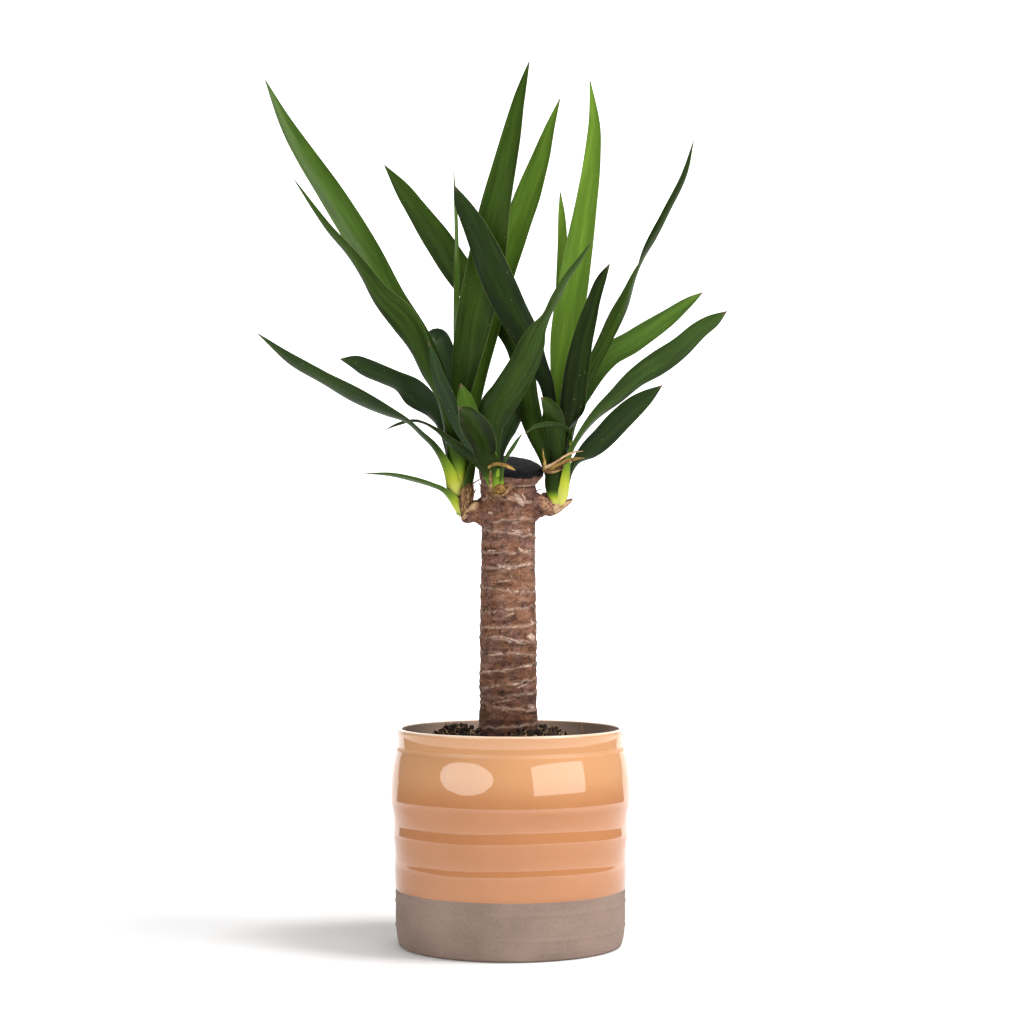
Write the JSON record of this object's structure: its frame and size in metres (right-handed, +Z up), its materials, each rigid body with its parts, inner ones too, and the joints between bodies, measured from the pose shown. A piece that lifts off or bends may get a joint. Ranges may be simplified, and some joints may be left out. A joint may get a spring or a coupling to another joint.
{
  "type": "potted yucca",
  "caption": "House plant: a thick sawn cane with sword-leaved shoots near its top, in a plastic nursery pot inside a round glazed stoneware cover pot.",
  "frame": {"origin": "middle of the cover pot's flat base, on the surface that it stands on", "axes": "+Z up along the pot's axis, -Y towards the front of the plant, +X to the right as seen from the front"},
  "size_m": [0.272, 0.1682, 0.5165],
  "materials": {
    "glazed_stoneware": "glossy peach glaze over bare grey-brown stoneware at the foot, lip and inside",
    "black_plastic": "matt black moulded plastic",
    "potting_mix": "loose dark fibrous bark and peat",
    "bark": "rough brown bark with ring scars and pale tan flecks",
    "black_wax": "matt black sealing wax, finely grained",
    "stem_green": "smooth yellow-green plant tissue",
    "leaf_green": "waxy green leaf with fine lengthwise veins and pale margins",
    "dry_sheath": "dry papery tan leaf base"
  },
  "bodies": {
    "root": {"cover_pot": "glazed_stoneware", "nursery_pot": "black_plastic", "soil": "potting_mix", "cane": "bark", "wax_seal": "black_wax", "left_stem": "stem_green", "centre_stem": "stem_green", "right_stem": "stem_green", "left_sheath": "dry_sheath", "right_sheath": "dry_sheath", "right_dry_leaf": "dry_sheath", "left_leaf_1": "leaf_green", "left_leaf_2": "leaf_green", "left_leaf_3": "leaf_green", "left_leaf_4": "leaf_green", "left_leaf_5": "leaf_green", "left_leaf_6": "leaf_green", "left_leaf_7": "leaf_green", "left_leaf_8": "leaf_green", "left_leaf_9": "leaf_green", "left_leaf_10": "leaf_green", "centre_leaf_1": "leaf_green", "centre_leaf_2": "leaf_green", "centre_leaf_3": "leaf_green", "centre_leaf_4": "leaf_green", "centre_leaf_5": "leaf_green", "centre_leaf_6": "leaf_green", "centre_leaf_7": "leaf_green", "right_leaf_1": "leaf_green", "right_leaf_2": "leaf_green", "right_leaf_3": "leaf_green", "right_leaf_4": "leaf_green", "right_leaf_5": "leaf_green", "right_leaf_6": "leaf_green", "right_leaf_7": "leaf_green", "right_leaf_8": "leaf_green", "right_leaf_9": "leaf_green", "right_leaf_10": "leaf_green", "right_leaf_11": "leaf_green", "right_leaf_12": "leaf_green"}
  },
  "joints": []
}
